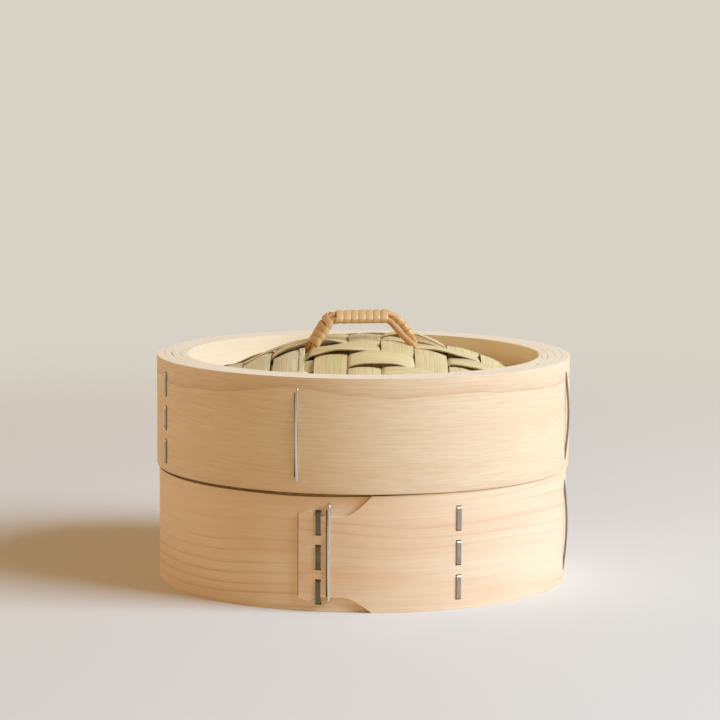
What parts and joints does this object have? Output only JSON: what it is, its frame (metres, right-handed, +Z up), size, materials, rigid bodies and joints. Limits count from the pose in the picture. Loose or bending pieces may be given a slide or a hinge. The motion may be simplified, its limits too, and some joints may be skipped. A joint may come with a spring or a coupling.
{
  "type": "steamer basket",
  "caption": "Round bentwood steamer basket with a slatted floor and a lift-off lid that has a woven bamboo dome and a wound rattan handle.",
  "frame": {"origin": "middle of the base, on the surface that the basket stands on", "axes": "+Z up, -Y towards the side with the body's scalloped tail, +X to the right seen from there"},
  "size_m": [0.2124, 0.2124, 0.1388],
  "materials": {
    "outer_board": "planed pale cypress board, unvarnished, satin",
    "inner_board": "planed pale cypress board, unvarnished, satin",
    "floor_bamboo": "split bamboo, planed",
    "woven_bamboo": "split bamboo strip, smooth",
    "rattan_cane": "peeled round rattan, satin",
    "rattan_strip": "flat rattan strip, satin",
    "steel": "bright drawn wire"
  },
  "bodies": {
    "basket": {"body_outer_hoop": "outer_board", "body_upper_hoop": "inner_board", "body_lower_hoop": "inner_board", "floor_slat_1": "floor_bamboo", "floor_slat_2": "floor_bamboo", "floor_slat_3": "floor_bamboo", "floor_slat_4": "floor_bamboo", "floor_slat_5": "floor_bamboo", "floor_slat_6": "floor_bamboo", "floor_slat_7": "floor_bamboo", "floor_slat_8": "floor_bamboo", "floor_slat_9": "floor_bamboo", "floor_crossbar_left": "floor_bamboo", "floor_crossbar_right": "floor_bamboo", "body_tail_staple_1": "steel", "body_tail_staple_2": "steel", "body_tail_staple_3": "steel", "body_seam_staple_1": "steel", "body_seam_staple_2": "steel", "body_seam_staple_3": "steel", "body_wire_1": "steel", "body_wire_2": "steel", "body_wire_3": "steel", "body_wire_4": "steel"},
    "lid": {"lid_outer_hoop": "outer_board", "lid_upper_hoop": "inner_board", "lid_lower_hoop": "inner_board", "weave_warp_1": "woven_bamboo", "weave_warp_2": "woven_bamboo", "weave_warp_3": "woven_bamboo", "weave_warp_4": "woven_bamboo", "weave_warp_5": "woven_bamboo", "weave_warp_6": "woven_bamboo", "weave_warp_7": "woven_bamboo", "weave_warp_8": "woven_bamboo", "weave_warp_9": "woven_bamboo", "weave_warp_10": "woven_bamboo", "weave_warp_11": "woven_bamboo", "weave_weft_1": "woven_bamboo", "weave_weft_2": "woven_bamboo", "weave_weft_3": "woven_bamboo", "weave_weft_4": "woven_bamboo", "weave_weft_5": "woven_bamboo", "weave_weft_6": "woven_bamboo", "weave_weft_7": "woven_bamboo", "weave_weft_8": "woven_bamboo", "weave_weft_9": "woven_bamboo", "weave_weft_10": "woven_bamboo", "handle_core": "rattan_cane", "handle_wrap": "rattan_strip", "lid_tail_staple_1": "steel", "lid_tail_staple_2": "steel", "lid_tail_staple_3": "steel", "lid_seam_staple_1": "steel", "lid_seam_staple_2": "steel", "lid_seam_staple_3": "steel", "lid_wire_1": "steel", "lid_wire_2": "steel", "lid_wire_3": "steel", "lid_wire_4": "steel"}
  },
  "joints": [
    {"name": "lid_lift", "type": "slide", "parent": "basket", "child": "lid", "axis": [0, 0, 1], "range_m": [0, 0.12]}
  ]
}
